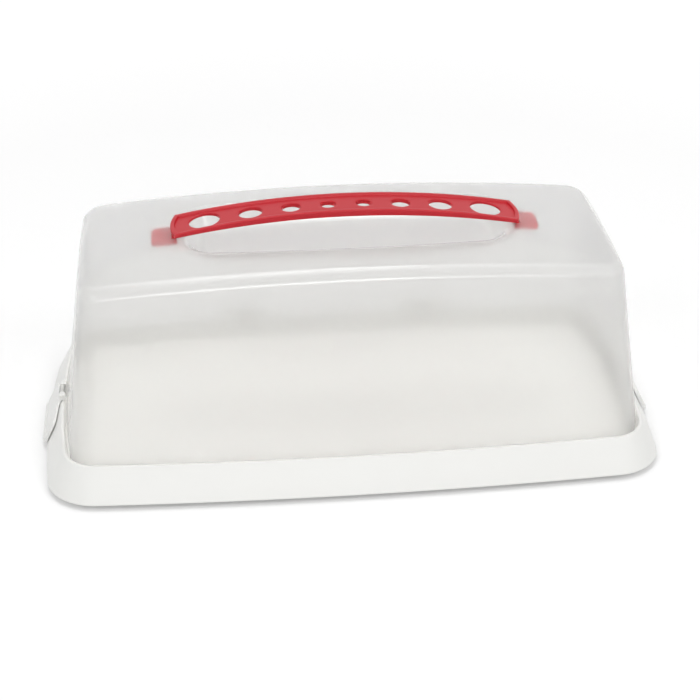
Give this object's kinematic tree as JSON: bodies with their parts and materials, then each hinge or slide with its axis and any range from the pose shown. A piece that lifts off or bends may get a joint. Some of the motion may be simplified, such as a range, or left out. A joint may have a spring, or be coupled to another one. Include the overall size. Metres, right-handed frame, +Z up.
{
  "type": "loaf cake carrier",
  "caption": "Long cake carrier: flared tray, frosted domed lid hinged along the back, end clips and an arched strap handle.",
  "frame": {"origin": "on the table, under the middle of the tray", "axes": "+Z up, +X along the carrier, -Y towards its front; the lid's hinge is on the +Y side"},
  "size_m": [0.3752, 0.193, 0.1455],
  "materials": {
    "tray_plastic": "white moulded polypropylene, satin",
    "lid_plastic": "frosted natural polypropylene, slightly see-through",
    "strap_plastic": "red moulded polypropylene, satin",
    "clip_plastic": "white moulded polypropylene, satin",
    "pin_plastic": "white nylon, matt"
  },
  "bodies": {
    "tray": {"base_tray": "tray_plastic", "hinge_pin_left": "pin_plastic", "hinge_pin_right": "pin_plastic"},
    "lid": {"lid_dome": "lid_plastic", "clip_pin_left": "pin_plastic", "clip_pin_right": "pin_plastic"},
    "strap": {"handle_strap": "strap_plastic"},
    "clip_left": {"end_clip_left": "clip_plastic"},
    "clip_right": {"end_clip_right": "clip_plastic"}
  },
  "joints": [
    {"name": "lid_hinge", "type": "hinge", "parent": "tray", "child": "lid", "pos_m": [0, 0.09, 0.025], "axis": [-1, 0, 0], "range_deg": [0, 117]},
    {"name": "strap_lift", "type": "slide", "parent": "lid", "child": "strap", "axis": [0, 0, 1], "range_m": [0, 0.001]},
    {"name": "clip_left_swing", "type": "hinge", "parent": "lid", "child": "clip_left", "pos_m": [-0.1744, 0, 0.0265], "axis": [0, 1, 0], "range_deg": [0, 100]},
    {"name": "clip_right_swing", "type": "hinge", "parent": "lid", "child": "clip_right", "pos_m": [0.1744, 0, 0.0265], "axis": [0, -1, 0], "range_deg": [0, 100]}
  ]
}
